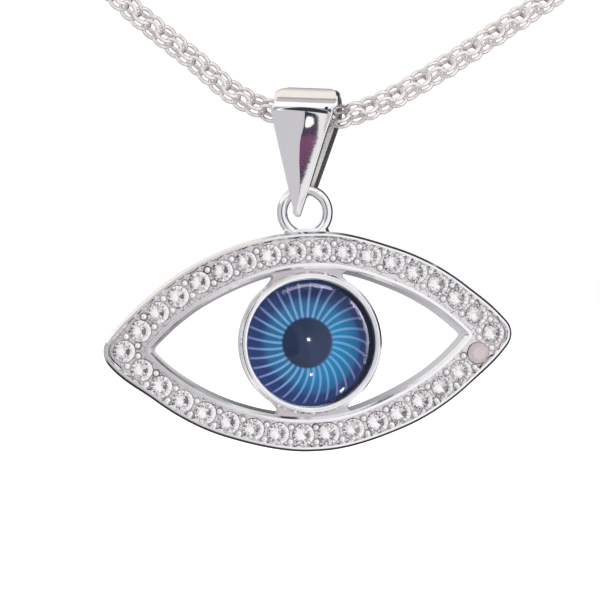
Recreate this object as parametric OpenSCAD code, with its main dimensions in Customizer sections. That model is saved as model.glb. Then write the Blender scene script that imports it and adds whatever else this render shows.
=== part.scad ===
// Evil eye pendant on a double rolo chain, shown as it is worn.
// Millimetres, +Z up, seen from -Y. The origin is the middle of the clasp at the nape.

/* [Eye frame] */
// Length of the eye shape from tip to tip
eye_length = 31.7; // [26:0.1:40]
// Height of the eye shape
eye_height = 17.05; // [15.5:0.05:20]
// Width of the flat band all round the eye shape
band_width = 2.82; // [2.6:0.02:3.2]
// Width of the polished rim outside the crystals
outer_rim = 0.5; // [0.3:0.05:0.6]
// Width of the polished rim inside the crystals
inner_rim = 0.47; // [0.3:0.01:0.6]
// Thickness of the band from back to front
band_depth = 1.9; // [1.6:0.1:3]
// Depth of the channel that the crystals sit in
channel_depth = 0.45; // [0.3:0.05:0.8]
// Radius of the two outer tips
tip_radius = 1.5; // [1:0.1:2.5]

/* [Crystals] */
// Diameter of one crystal at its girdle
crystal_diameter = 1.6; // [1.2:0.05:1.7]
// Crystals on each arc between the two that sit in the tips
crystals_per_arc = 16; // [10:1:16]
// Diameter of the metal beads between the crystals
bead_diameter = 0.46; // [0.3:0.02:0.5]

/* [Eye] */
// Outer diameter of the round bezel
bezel_diameter = 11; // [9:0.1:11.2]
// Thickness of the bezel wall
bezel_wall = 0.55; // [0.4:0.05:0.8]
// How far the bezel stands in front of the band
bezel_rise = 0.5; // [0.2:0.05:1.2]
// Thickness of the printed iris disc
iris_thickness = 0.3; // [0.2:0.05:0.6]
// Height of the glass above the bezel lip
dome_rise = 0.95; // [0.5:0.05:1.5]

/* [Loop] */
// Outer diameter of the round loop on the eye
loop_diameter = 4.26; // [3.8:0.02:5]
// Diameter of the loop's wire
loop_wire = 0.75; // [0.5:0.05:0.9]

/* [Bail] */
// Width of the bail across its rolled top
bail_width = 4.7; // [4:0.1:5.5]
// Height of the roll above the middle of the chain
bail_top = 1.87; // [1.8:0.01:2.4]
// Length of the bail's front plate below the middle of the chain
bail_reach = 8.05; // [7.8:0.05:9.5]
// Distance from the middle of the chain to the loop's wire
bail_drop = 5.95; // [5.6:0.05:6.2]
// Thickness of the bail's sheet
bail_sheet = 0.45; // [0.35:0.05:0.5]
// Height of the ridge down the middle of the front plate
bail_ridge = 0.35; // [0.2:0.05:0.5]

/* [Chain] */
// Width of the chain across its links
chain_width = 1.8; // [1.4:0.1:1.9]
// Width of the necklace across the neck
neck_width = 123; // [100:1:160]
// Distance from the nape forward to the bail
neck_reach = 106; // [90:1:140]
// Distance from the nape down to the bail
neck_drop = 113.5; // [90:0.5:150]
// Length of the clasp barrel
clasp_length = 14; // [12:0.5:20]
// Diameter of the clasp barrel
clasp_diameter = 3.4; // [3:0.1:5]

/* [Hang] */
// Turn of the eye in its own plane, right tip up
eye_tilt = 2.5; // [-6:0.5:6]
// Turn of the eye about the vertical, left side to the front
eye_turn = 6; // [-8:0.5:8]
// Lean of the bail, top to the right
bail_lean = 2.6; // [-5:0.1:5]
// Turn of the bail about the vertical, right side to the front
bail_turn = 10; // [-12:0.5:12]

/* [Hidden] */
$fn = 96;
// gap between pieces that are set into each other
fit = 0.06;

// the eye shape is two arcs whose centres lie arc_offset above and below the middle
half_length = eye_length / 2;
half_height = eye_height / 2;
tip_centre = half_length - tip_radius;
tip_height = half_height - tip_radius;
arc_offset = (tip_centre * tip_centre - tip_height * tip_height) / (2 * tip_height);
outer_arc = half_height + arc_offset;
channel_outer_arc = outer_arc - outer_rim;
opening_arc = outer_arc - band_width;
channel_inner_arc = opening_arc + inner_rim;
row_arc = (channel_outer_arc + channel_inner_arc) / 2;
channel_width = channel_outer_arc - channel_inner_arc;
channel_tip = min(tip_radius - outer_rim, channel_width * 0.55);
inner_tip = 0.7;
opening_tip = 0.6;

// heights toward the viewer, from the middle of the band
band_front = band_depth / 2;
band_back = -band_depth / 2;
channel_floor = band_front - channel_depth;

// crystals: one in each tip and crystals_per_arc along both arcs between them
crystal_radius = min(crystal_diameter, channel_width - 2 * fit) / 2;
table_radius = 0.56 * crystal_radius;
crown_height = 0.30 * crystal_radius;
girdle_height = 0.05 * crystal_radius;
pavilion_depth = 0.80 * crystal_radius;
girdle_level = channel_floor + fit;
row_angle = acos(arc_offset / row_arc);
row_step = 2 * row_angle / (crystals_per_arc + 1);
seat_radius = crystal_radius + fit;
bead_side = 0.3 * channel_width;
bead_radius = bead_diameter / 2;

// bezel, printed disc and glass
bezel_radius = bezel_diameter / 2;
bezel_bore = bezel_radius - bezel_wall;
bezel_lip = band_front + bezel_rise;
bezel_floor = band_back + 0.5;
disc_radius = bezel_bore - fit;
disc_back = bezel_floor + fit;
glass_back = disc_back + iris_thickness + fit;
glass_edge = bezel_lip - 0.45;
glass_top = bezel_lip + dome_rise;
dome_height = glass_top - glass_edge;
dome_radius = (disc_radius * disc_radius + dome_height * dome_height) / (2 * dome_height);
bridge_half = 2.9;
bridge_front = band_front - 0.25;

// loop: a ring soldered to the top of the band
loop_ring = (loop_diameter - loop_wire) / 2;
loop_up = half_height + loop_diameter / 2 - 0.61;
hinge_up = loop_up + loop_ring;
foot_half = 0.4 * loop_diameter;

// bail: two circles joined by straight legs, in the plane across its width
roll_outer = bail_top;
roll_inner = bail_top - bail_sheet;
cup_inner = loop_wire / 2 + 0.47;
cup_outer = cup_inner + bail_sheet;
leg_angle = asin((roll_outer - cup_outer) / bail_drop);
plate_end = bail_reach + 1;
// where the loop's wire hangs in the bail, from the middle of the chain
loop_hinge = bail_drop * [-sin(bail_lean) * cos(bail_turn), sin(bail_lean) * sin(bail_turn), -cos(bail_lean)];
top_half = bail_width / 2;
tip_half = 0.3;
taper_start = 0.4;
roll_corner = 0.6;

// clasp
clasp_bore = chain_width / 2 + 0.25;
clasp_socket = 3.5;
clasp_end = clasp_length / 2;

// the route: x, y and z from the middle of the bail, first as millimetres in the photograph
front_left = [[-3, 0.55, 0.2], [-5.2, 0.8, 1.1], [-8.8, 1, 4], [-13.8, 1.2, 8.1]];
front_right = [[3, -0.55, -0.3], [5.6, -0.75, 0.6], [9.6, -0.7, 2.8], [15.1, -0.3, 6.4]];
// then as shares of the half width, the reach and the drop, from front to nape
side_left = [[-0.344, 0.019, 0.138], [-0.508, 0.052, 0.227], [-0.697, 0.118, 0.347],
    [-0.861, 0.236, 0.489], [-0.967, 0.387, 0.649], [-0.984, 0.557, 0.796],
    [-0.893, 0.717, 0.893], [-0.705, 0.858, 0.956], [-0.443, 0.958, 0.991]];
side_right = [[0.377, 0.009, 0.107], [0.541, 0.038, 0.182], [0.713, 0.094, 0.284],
    [0.869, 0.198, 0.431], [0.975, 0.34, 0.6], [1, 0.519, 0.769],
    [0.918, 0.698, 0.884], [0.721, 0.858, 0.956], [0.443, 0.958, 0.991]];
// and it enters the clasp's sockets in line with them
chain_end = clasp_end - clasp_socket + 0.5;
chain_mouth = clasp_end + 3;
function share(row) = [row[0] * neck_width / 2, row[1] * neck_reach, row[2] * neck_drop];
function into_clasp(side) = [for (x = [chain_mouth, chain_end]) [side * x, neck_reach, neck_drop]];
function reversed(list) = [for (i = [len(list) - 1:-1:0]) list[i]];
route_left = concat(front_left, [for (row = side_left) share(row)], into_clasp(-1));
route_right = concat(front_right, [for (row = side_right) share(row)], into_clasp(1));
route = [for (p = concat(reversed(route_left), route_right)) p - [0, neck_reach, neck_drop]];
bail_centre = [0, -neck_reach, -neck_drop];

// a smooth curve through the route, with a ring of the tube every three diameters or so
tube_sides = 8;
ring_spacing = 3.2 * chain_width;
last = len(route) - 1;
function gap(i) = norm(route[i + 1] - route[i]);
function slope(i) = i == 0 ? (route[1] - route[0]) / gap(0)
    : i == last ? (route[last] - route[last - 1]) / gap(last - 1)
    : (gap(i) * (route[i] - route[i - 1]) / gap(i - 1)
        + gap(i - 1) * (route[i + 1] - route[i]) / gap(i)) / (gap(i - 1) + gap(i));
function bend(i, t) = (2 * t * t * t - 3 * t * t + 1) * route[i]
    + (t * t * t - 2 * t * t + t) * gap(i) * slope(i)
    + (3 * t * t - 2 * t * t * t) * route[i + 1]
    + (t * t * t - t * t) * gap(i) * slope(i + 1);
function steps(i) = max(1, ceil(gap(i) / ring_spacing));
path = concat([for (i = [0:last - 1]) for (k = [0:steps(i) - 1]) bend(i, k / steps(i))], [route[last]]);
count = len(path);
neck_axis = [0, -neck_reach * 0.45, -neck_drop * 0.5];
function along(i) = let (a = path[max(i - 1, 0)], b = path[min(i + 1, count - 1)]) (b - a) / norm(b - a);
function outward(i) = let (t = along(i), r = path[i] - neck_axis, n = r - (r * t) * t) n / norm(n);
function ring_point(i, k) = let (t = along(i), n = outward(i), b = cross(t, n), a = 360 * k / tube_sides)
    path[i] + chain_width / 2 * (cos(a) * n + sin(a) * b);
function tube_index(i, k) = i * tube_sides + k % tube_sides;

// places a piece of the eye: drawn flat with +Z toward the viewer, then hung from the loop
module hang_eye() {
    translate(bail_centre + loop_hinge)
    rotate([0, 0, eye_turn])
    rotate([0, -eye_tilt, 0])
    translate([0, 0, -hinge_up])
    rotate([90, 0, 0])
    children();
}

// places the bail: drawn with its chain along X and its front toward -Y
module hang_bail() {
    translate(bail_centre)
    rotate([0, 0, -bail_turn])
    rotate([0, bail_lean, 0])
    children();
}

// the eye outline whose arcs have the given radius, with rounded tips
module eye_shape(arc, tip) {
    centre = sqrt(pow(arc - tip, 2) - pow(arc_offset, 2));
    reach = arc * centre / (arc - tip);
    intersection() {
        translate([0, -arc_offset])
        circle(arc);
        translate([0, arc_offset])
        circle(arc);
        square([2 * reach, 2 * arc], center = true);
    }
    translate([centre, 0])
    circle(tip, $fn = 48);
    translate([-centre, 0])
    circle(tip, $fn = 48);
}

// repeats a child at each crystal, step is 0 at a tip and counts along the upper and lower arcs
module at_crystals() {
    for (side = [0, 180])
    rotate(side)
    for (i = [0:crystals_per_arc])
    translate([0, -arc_offset])
    rotate(row_angle - i * row_step)
    translate([0, row_arc])
    children();
}

// repeats a child at each pair of beads, half way between two crystals
module at_beads() {
    for (side = [0, 180])
    rotate(side)
    for (i = [0:crystals_per_arc])
    translate([0, -arc_offset])
    rotate(row_angle - (i + 0.5) * row_step)
    for (shift = [-bead_side, bead_side])
    translate([0, row_arc + shift])
    children();
}

module eye_band() {
    difference() {
        translate([0, 0, band_back])
        linear_extrude(band_depth)
        difference() {
            eye_shape(outer_arc, tip_radius);
            eye_shape(opening_arc, opening_tip);
        }
        translate([0, 0, channel_floor])
        linear_extrude(channel_depth + 1)
        difference() {
            eye_shape(channel_outer_arc, channel_tip);
            eye_shape(channel_inner_arc, inner_tip);
        }
        at_crystals()
        seat();
    }
    at_beads()
    translate([0, 0, channel_floor])
    sphere(bead_radius, $fn = 24);
}

// a blind cone under a crystal, open to the channel
module seat() {
    depth = pavilion_depth * seat_radius / crystal_radius;
    translate([0, 0, channel_floor - depth])
    cylinder(h = depth, r1 = 0.02, r2 = seat_radius, $fn = 32);
}

module bezel() {
    difference() {
        union() {
            translate([0, 0, band_back])
            cylinder(h = bezel_lip - band_back - 0.2, r = bezel_radius);
            translate([0, 0, bezel_lip - 0.2])
            cylinder(h = 0.2, r1 = bezel_radius, r2 = bezel_radius - 0.15);
            translate([0, 0, band_back + 0.15])
            linear_extrude(bridge_front - band_back - 0.15)
            intersection() {
                eye_shape(opening_arc + 0.1, opening_tip);
                square([2 * bridge_half, eye_height], center = true);
            }
        }
        translate([0, 0, bezel_floor])
        cylinder(h = band_depth + 5, r = bezel_bore);
    }
}

module loop() {
    translate([0, loop_up, 0]) {
        rotate_extrude()
        translate([loop_ring, 0])
        circle(loop_wire / 2, $fn = 32);
    }
    translate([-foot_half, half_height - 0.4, -loop_wire / 2])
    cube([2 * foot_half, 0.55, loop_wire]);
}

module eye_frame() {
    color("silver")
    hang_eye() {
        eye_band();
        bezel();
        loop();
    }
}

module iris_disc() {
    color("midnightblue")
    hang_eye()
    translate([0, 0, disc_back])
    cylinder(h = iris_thickness, r = disc_radius);
}

module eye_cabochon() {
    color("royalblue", 0.4)
    hang_eye()
    intersection() {
        translate([0, 0, glass_back])
        cylinder(h = glass_top - glass_back + 1, r = disc_radius);
        translate([0, 0, glass_top - dome_radius])
        sphere(dome_radius, $fn = 180);
    }
}

// one brilliant: a table, 40 crown facets, a thin girdle and 32 pavilion facets
function around(radius, angle, height) = [radius * cos(angle), radius * sin(angle), height];
crown_mid = 0.79 * crystal_radius;
crown_mid_level = crown_height * 0.5;
cut_points = concat(
    [for (k = [0:7]) around(table_radius, 45 * k, crown_height + girdle_height)],
    [for (k = [0:7]) around(crown_mid, 45 * k + 22.5, crown_mid_level + girdle_height)],
    [for (k = [0:15]) around(crystal_radius, 22.5 * k, girdle_height)],
    [for (k = [0:15]) around(crystal_radius, 22.5 * k, 0)],
    [for (k = [0:7]) around(0.25 * crystal_radius, 45 * k + 22.5, -0.78 * pavilion_depth)],
    [[0, 0, -pavilion_depth]]);
cut_faces = concat(
    [[7, 6, 5, 4, 3, 2, 1, 0]],
    [for (k = [0:7]) [k, (k + 1) % 8, 8 + k]],
    [for (k = [0:7]) [k, 8 + k, 16 + 2 * k]],
    [for (k = [0:7]) [(k + 1) % 8, 16 + (2 * k + 2) % 16, 8 + k]],
    [for (k = [0:7]) [8 + k, 16 + 2 * k + 1, 16 + 2 * k]],
    [for (k = [0:7]) [8 + k, 16 + (2 * k + 2) % 16, 16 + 2 * k + 1]],
    [for (k = [0:15]) [16 + k, 16 + (k + 1) % 16, 32 + k]],
    [for (k = [0:15]) [16 + (k + 1) % 16, 32 + (k + 1) % 16, 32 + k]],
    [for (k = [0:7]) [32 + 2 * k, 32 + 2 * k + 1, 48 + k]],
    [for (k = [0:7]) [32 + 2 * k + 1, 32 + (2 * k + 2) % 16, 48 + k]],
    [for (k = [0:7]) [32 + 2 * k, 48 + k, 56]],
    [for (k = [0:7]) [32 + (2 * k + 2) % 16, 56, 48 + k]]);

module crystals() {
    color("white")
    hang_eye()
    at_crystals()
    translate([0, 0, girdle_level])
    polyhedron(cut_points, cut_faces);
}

// the bail's side view: roll, two legs and the cup under the loop's wire
module strap(roll, cup) {
    circle(roll);
    translate([0, -bail_drop])
    circle(cup, $fn = 64);
    for (side = [-1, 1])
    polygon([[0, 0], [side * roll * cos(leg_angle), -roll * sin(leg_angle)],
        [side * cup * cos(leg_angle), -bail_drop - cup * sin(leg_angle)], [0, -bail_drop]]);
}

// the front plate runs on past the cup to the tip
module plate() {
    rotate(leg_angle)
    translate([-roll_outer, -plate_end])
    square([bail_sheet, plate_end - bail_drop]);
    polygon([[0, -bail_drop], [-cup_inner, -bail_drop - 0.1],
        [tip_half - 1.0, -bail_reach - 0.2], [-0.2, -bail_reach - 0.2], [cup_outer * 0.8, -bail_drop - 0.7]]);
}

// a low ridge down the front plate, which fades into the tip
module ridge() {
    sunk = 0.2;
    grow = (bail_ridge + sunk) / bail_ridge;
    down = grow * plate_end;
    rotate([leg_angle, 0, 0])
    translate([0, -roll_outer, 0])
    polyhedron([[-top_half * grow, sunk, 0.2], [top_half * grow, sunk, 0.2],
        [0, -bail_ridge, 0.2], [0, sunk, -down]],
        [[0, 1, 2], [0, 2, 3], [2, 1, 3], [1, 0, 3]]);
}

// the bail's outline from the front
module bail_face() {
    tip_level = -bail_reach + tip_half;
    shoulder = roll_outer - roll_corner;
    translate([0, tip_level])
    circle(tip_half, $fn = 32);
    polygon([[-tip_half, tip_level], [tip_half, tip_level], [top_half, taper_start],
        [top_half, shoulder], [-top_half, shoulder], [-top_half, taper_start]]);
    for (side = [-1, 1])
    translate([side * (top_half - roll_corner), shoulder])
    circle(roll_corner, $fn = 48);
    translate([-top_half + roll_corner, shoulder])
    square([2 * (top_half - roll_corner), roll_corner + 0.5]);
}

module bail() {
    color("silver")
    hang_bail()
    intersection() {
        difference() {
            union() {
                rotate([90, 0, 90])
                translate([0, 0, -top_half - 1])
                linear_extrude(bail_width + 2) {
                    strap(roll_outer, cup_outer);
                    plate();
                }
                ridge();
            }
            rotate([90, 0, 90])
            translate([0, 0, -top_half - 2])
            linear_extrude(bail_width + 4)
            strap(roll_inner, cup_inner);
        }
        rotate([90, 0, 0])
        translate([0, 0, -5])
        linear_extrude(10)
        bail_face();
    }
}

module chain() {
    color("gainsboro")
    polyhedron(
        [for (i = [0:count - 1]) for (k = [0:tube_sides - 1]) ring_point(i, k)],
        concat(
            [[for (k = [0:tube_sides - 1]) tube_index(0, k)]],
            [[for (k = [tube_sides - 1:-1:0]) tube_index(count - 1, k)]],
            [for (i = [0:count - 2]) for (k = [0:tube_sides - 1])
                [tube_index(i, k), tube_index(i + 1, k), tube_index(i + 1, k + 1)]],
            [for (i = [0:count - 2]) for (k = [0:tube_sides - 1])
                [tube_index(i, k), tube_index(i + 1, k + 1), tube_index(i, k + 1)]]));
}

module clasp() {
    color("silver")
    rotate([0, 90, 0])
    difference() {
        union() {
            translate([0, 0, -clasp_end + 0.4])
            cylinder(h = clasp_length - 0.8, r = clasp_diameter / 2);
            for (side = [0, 180])
            rotate([side, 0, 0])
            translate([0, 0, clasp_end - 0.4])
            cylinder(h = 0.4, r1 = clasp_diameter / 2, r2 = clasp_diameter / 2 - 0.25);
        }
        for (side = [0, 180])
        rotate([side, 0, 0])
        translate([0, 0, clasp_end - clasp_socket])
        cylinder(h = clasp_socket + 1, r = clasp_bore);
    }
}

chain();
clasp();
bail();
eye_frame();
iris_disc();
eye_cabochon();
crystals();
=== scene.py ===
import math

import bpy
import numpy as np
from mathutils import Matrix, Vector


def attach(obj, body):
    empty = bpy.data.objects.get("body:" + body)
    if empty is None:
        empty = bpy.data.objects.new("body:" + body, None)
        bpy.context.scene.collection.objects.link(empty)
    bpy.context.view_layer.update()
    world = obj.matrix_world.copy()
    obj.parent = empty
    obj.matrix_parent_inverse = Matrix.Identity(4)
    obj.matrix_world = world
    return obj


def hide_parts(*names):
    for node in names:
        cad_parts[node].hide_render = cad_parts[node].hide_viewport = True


# The evil eye pendant on its chain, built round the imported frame.
# Lengths are millimetres in the piece's own axes until mesh() turns them into metres.

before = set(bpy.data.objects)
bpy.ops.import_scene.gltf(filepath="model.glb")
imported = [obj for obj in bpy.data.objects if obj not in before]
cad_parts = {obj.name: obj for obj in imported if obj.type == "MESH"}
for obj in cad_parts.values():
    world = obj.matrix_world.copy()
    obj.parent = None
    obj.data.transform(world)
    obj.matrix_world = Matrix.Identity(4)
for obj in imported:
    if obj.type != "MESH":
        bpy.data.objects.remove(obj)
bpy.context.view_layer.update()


# Places
def turn(axis, degrees):
    c, s = math.cos(math.radians(degrees)), math.sin(math.radians(degrees))
    return np.array({"x": [[1, 0, 0], [0, c, -s], [0, s, c]],
                     "y": [[c, 0, s], [0, 1, 0], [-s, 0, c]],
                     "z": [[c, -s, 0], [s, c, 0], [0, 0, 1]]}[axis], float)


DEGREES = 180 / math.pi
REACH, DROP = 106.0, 113.5  # the bail's place in front of the nape and below it
BAIL_DROP, LEAN, BAIL_TURN = 5.95, math.radians(2.6), math.radians(10)
BAIL_CENTRE = np.array([0, -REACH, -DROP])
HINGE = BAIL_DROP * np.array([-math.sin(LEAN) * math.cos(BAIL_TURN),
                              math.sin(LEAN) * math.sin(BAIL_TURN), -math.cos(LEAN)])
EYE_TURN = turn("z", 6) @ turn("y", -2.5)
BAIL_AXES = turn("z", -10) @ turn("y", 3.2)
UPRIGHT = np.array([[1, 0, 0], [0, 0, -1], [0, 1, 0]], float)
HINGE_UP = 11.8  # the bail's lower fold above the eye's middle
BEZEL_LEFT = 0.165
TAPER = 0.2755  # how much each side of the bail widens per millimetre up


def in_eye(p, direction=False):
    """Flat coordinates (right, up, toward the viewer) to the necklace's frame."""
    q = p @ UPRIGHT.T
    if direction:
        return q @ EYE_TURN.T
    return (q - [0, 0, HINGE_UP]) @ EYE_TURN.T + BAIL_CENTRE + HINGE


def in_bezel(p, direction=False):
    """The bezel and all in it sit a little left of the eye's middle."""
    return in_eye(p if direction else p - [BEZEL_LEFT, 0, 0], direction)


def in_bail(p, direction=False):
    return p @ BAIL_AXES.T if direction else p @ BAIL_AXES.T + BAIL_CENTRE


def in_place(p, direction=False):
    return p


# Meshes
class Shell:
    """Collects vertices, faces and smooth normals in a piece's own axes."""

    def __init__(self):
        self.points, self.normals, self.faces, self.total = [], [], [], 0

    def grid(self, points, normals, across=False, along=False):
        """A sheet of points[i, j] with outward normals[i, j]: across closes j, along closes i."""
        rows, cols = points.shape[:2]
        i = np.arange(rows if along else rows - 1)[:, None]
        j = np.arange(cols if across else cols - 1)[None, :]
        a = i * cols + j
        b = i * cols + (j + 1) % cols
        c = ((i + 1) % rows) * cols + (j + 1) % cols
        d = ((i + 1) % rows) * cols + j
        quads = np.stack([a, b, c, d], -1).reshape(-1, 4)
        flat, n = points.reshape(-1, 3), normals.reshape(-1, 3)
        p = flat[quads]
        area = np.cross(p[:, 2] - p[:, 0], p[:, 3] - p[:, 1])
        if (area * n[quads].sum(1)).sum() < 0:
            quads = quads[:, ::-1]
        self.faces += (quads + self.total).tolist()
        self.points.append(flat)
        self.normals.append(n)
        self.total += len(flat)
        return self

    def add(self, points, faces, normals):
        self.faces += [[k + self.total for k in f] for f in faces]
        self.points.append(np.asarray(points, float))
        self.normals.append(np.asarray(normals, float))
        self.total += len(points)
        return self


def new_object(name, data):
    o = bpy.data.objects.new(name, data)
    bpy.context.scene.collection.objects.link(o)
    return o


def mesh(name, shell, place, body, nodes, material, smooth=True):
    points = np.concatenate(shell.points)
    made = bpy.data.meshes.new(name)
    made.from_pydata((place(points) / 1000).tolist(), [], shell.faces)
    flat = made.attributes.new("flat", "FLOAT_VECTOR", "POINT")
    flat.data.foreach_set("vector", points.astype(np.float32).ravel())
    if smooth:
        made.polygons.foreach_set("use_smooth", [True] * len(made.polygons))
    if smooth is True:
        n = place(np.concatenate(shell.normals), True)
        n = n / np.maximum(np.linalg.norm(n, axis=1, keepdims=True), 1e-9)
        made.normals_split_custom_set_from_vertices(n.tolist())
    made.materials.append(material)
    o = new_object(name, made)
    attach(o, body)
    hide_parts(*nodes)
    return o


def circle(count):
    return np.linspace(0, 2 * math.pi, count, endpoint=False)


def rounded(path, side, steps=4):
    """Points and normals along a path of (a, b, corner radius).

    The normals are on its left for side 1 and on its right for side -1.
    """
    q = [np.array(p[:2], float) for p in path]
    dirs = [(q[i + 1] - q[i]) / np.linalg.norm(q[i + 1] - q[i]) for i in range(len(q) - 1)]
    norms = [side * np.array([-u[1], u[0]]) for u in dirs]
    points, out = [q[0]], [norms[0]]
    for i in range(1, len(q) - 1):
        r, before, after = path[i][2], dirs[i - 1], dirs[i]
        bend = math.atan2(before[0] * after[1] - before[1] * after[0], before @ after)
        if r <= 0 or abs(bend) < 1e-3:
            points += [q[i], q[i]]
            out += [norms[i - 1], norms[i]]
            continue
        t = r * math.tan(abs(bend) / 2)
        start = q[i] - before * t
        left = np.array([-before[1], before[0]])
        centre = start + left * r * (1 if bend > 0 else -1)
        for k in range(steps + 1):
            a = bend * k / steps
            c, s = math.cos(a), math.sin(a)
            m = np.array([[c, -s], [s, c]])
            points.append(centre + m @ (start - centre))
            out.append(m @ norms[i - 1])
    points.append(q[-1])
    out.append(norms[-1])
    return np.array(points), np.array(out)


def spun(profile, around):
    """Turns a profile of (radius, front) about the axis toward the viewer."""
    a = circle(around)
    ring = np.stack([np.cos(a), np.sin(a)], -1)
    flat = profile[:, None, :1] * ring[None]
    return np.concatenate([flat, np.repeat(profile[:, None, 1:], around, 1)], -1)


def lathe(path, side, around=128, steps=4, centre=(0, 0)):
    """Points and normals of a path of (radius, front, corner) turned about that axis."""
    p, n = rounded(path, side, steps)
    return spun(p, around) + [*centre, 0], spun(n, around)


# Shader building
class Num:
    """A number in a shader, so that patterns can be written as sums."""

    def __init__(self, tree, socket):
        self.tree, self.socket = tree, socket

    def op(self, kind, *others):
        node = self.tree.nodes.new("ShaderNodeMath")
        node.operation = kind
        for k, v in enumerate((self,) + others):
            put(self.tree, node.inputs[k], v)
        return Num(self.tree, node.outputs[0])

    def __add__(self, o):
        return self.op("ADD", o)

    __radd__ = __add__

    def __mul__(self, o):
        return self.op("MULTIPLY", o)

    __rmul__ = __mul__

    def __sub__(self, o):
        return self.op("SUBTRACT", o)

    def __rsub__(self, o):
        return (self * -1.0) + o

    def __truediv__(self, o):
        return self.op("DIVIDE", o)

    def __pow__(self, o):
        return self.op("POWER", o)

    def abs(self):
        return self.op("ABSOLUTE")

    def frac(self):
        return self.op("FRACT")

    def cos(self):
        return self.op("COSINE")

    def sqrt(self):
        return self.op("SQRT")

    def atan2(self, o):
        return self.op("ARCTAN2", o)

    def asin(self):
        return self.op("ARCSINE")

    def most(self, o):
        return self.op("MAXIMUM", o)

    def ease(self, a, b):
        """0 at a and 1 at b, smooth between, whichever is larger."""
        node = self.tree.nodes.new("ShaderNodeMapRange")
        node.interpolation_type = "SMOOTHSTEP"
        for k, v in enumerate((self, a, b, 0.0, 1.0)):
            put(self.tree, node.inputs[k], v)
        return Num(self.tree, node.outputs[0])


def put(tree, socket, value):
    if isinstance(value, Num):
        tree.links.new(value.socket, socket)
    elif hasattr(value, "is_output"):
        tree.links.new(value, socket)
    elif isinstance(value, (tuple, list)) and len(value) == 3 and len(socket.default_value) == 4:
        socket.default_value = (*value, 1)
    else:
        socket.default_value = value


def fill(node, values):
    """Sets plain values on a node's own sockets."""
    for key, value in values.items():
        node.inputs[key].default_value = value


def blend(tree, amount, a, b):
    """Colour a where the amount is 0 and b where it is 1."""
    node = tree.nodes.new("ShaderNodeMix")
    node.data_type = "RGBA"
    put(tree, node.inputs[0], amount)
    put(tree, node.inputs[6], a)
    put(tree, node.inputs[7], b)
    return node.outputs[2]


def noise(tree, vector, scale, detail=2.0, roughness=0.5):
    node = tree.nodes.new("ShaderNodeTexNoise")
    put(tree, node.inputs["Vector"], vector)
    fill(node, {"Scale": scale, "Detail": detail, "Roughness": roughness})
    return Num(tree, node.outputs["Fac"])


def parts(tree, vector):
    """A vector's three numbers."""
    split = tree.nodes.new("ShaderNodeSeparateXYZ")
    tree.links.new(vector, split.inputs[0])
    return [Num(tree, split.outputs[k]) for k in range(3)]


def own_axes(tree):
    """A point's place in its piece's own axes, in millimetres, as mesh() stored it."""
    at = tree.nodes.new("ShaderNodeAttribute")
    at.attribute_name = "flat"
    return at.outputs["Vector"]


def toward(angle, degrees):
    """1 in the direction of degrees, 0 square to it and -1 opposite."""
    return ((angle - degrees) * (math.pi / 180)).cos()


def srgb(r, g, b, gain=1.0):
    def one(v):
        v = v / 255
        return gain * (v / 12.92 if v <= 0.04045 else ((v + 0.055) / 1.055) ** 2.4)
    return (one(r), one(g), one(b))


def new_material(name):
    m = bpy.data.materials.new(name)
    m.use_nodes = True
    tree = m.node_tree
    return m, tree, tree.nodes["Principled BSDF"], own_axes(tree)


def bump(tree, shader, height, strength, metres=0.00005):
    node = tree.nodes.new("ShaderNodeBump")
    fill(node, {"Strength": strength, "Distance": metres})
    put(tree, node.inputs["Height"], height)
    tree.links.new(node.outputs["Normal"], shader.inputs["Normal"])


def silver(name, base, dull, rough, wear=0.5, gleam=1.0):
    """Polished silver: faint haze, faint scratches and a slight waviness from polishing."""
    m, tree, shader, flat = new_material(name)
    haze = noise(tree, flat, 0.55, 3)
    fine = noise(tree, flat, 7.0, 4, 0.6)
    put(tree, shader.inputs["Base Color"], blend(tree, haze.ease(0.35, 0.75) * wear, base, dull))
    put(tree, shader.inputs["Roughness"], rough + fine.ease(0.4, 0.8) * rough * 0.8)
    shader.inputs["Metallic"].default_value = gleam
    bump(tree, shader, haze * 0.7 + fine * 0.05, 0.25)
    return m


def bail_material():
    """The same silver, with painted shadow along the crease under the roll, and painted shade
    inside the bail.
    """
    m = silver("bail_silver", (0.93, 0.93, 0.94), (0.88, 0.88, 0.90), 0.06)
    tree = m.node_tree
    shader = tree.nodes["Principled BSDF"]
    x, y, z = parts(tree, own_axes(tree))
    # painted shadow: a dark arched line along the crease under the roll, wider toward the right,
    # with a round dark spot at its right end, on the front only
    middle = 0.12 - x * 0.035 - x * x * 0.035
    wide = (1.0 - ((x - 0.4) / 2.2) ** 2.0).most(0.0) * 0.15 + 0.02
    crease = (z - middle).abs().ease(wide + 0.03, wide - 0.03)
    crease = crease * x.ease(-1.85, -1.6) * x.ease(2.0, 1.75)
    shadow_spot = (((x - 1.70) ** 2.0 + (z - 0.27) ** 2.0).sqrt()).ease(0.17, 0.10)
    dark = crease.most(shadow_spot) * y.ease(-1.3, -1.5)
    before = shader.inputs["Base Color"].links[0].from_socket
    rough = Num(tree, shader.inputs["Roughness"].links[0].from_socket)
    colour = blend(tree, dark * 0.96, before, (0.018, 0.016, 0.024))
    # inside the roll and on the back leg's inner face the sheet is only brushed, rougher and less
    # metallic, and its colour is darkened as painted shade, darkest along the back leg's right edge
    shaded_inside = (y * y + z * z).sqrt().ease(1.66, 1.60) * z.ease(-0.9, -0.5)
    back = y.ease(0.6, 0.8) * z.ease(-0.5, -0.9)
    rim = (x - z * TAPER - 2.13).ease(-0.04, 0.04)
    colour = blend(tree, shaded_inside, colour, (0.16, 0.15, 0.16))
    colour = blend(tree, back, colour, blend(tree, rim, (0.80, 0.79, 0.81), (0.07, 0.065, 0.075)))
    put(tree, shader.inputs["Base Color"], colour)
    put(tree, shader.inputs["Roughness"], rough + dark * 0.35 + shaded_inside.most(back) * 0.4)
    put(tree, shader.inputs["Metallic"], 1.0 - shaded_inside.most(back) * 0.6)
    return m


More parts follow.
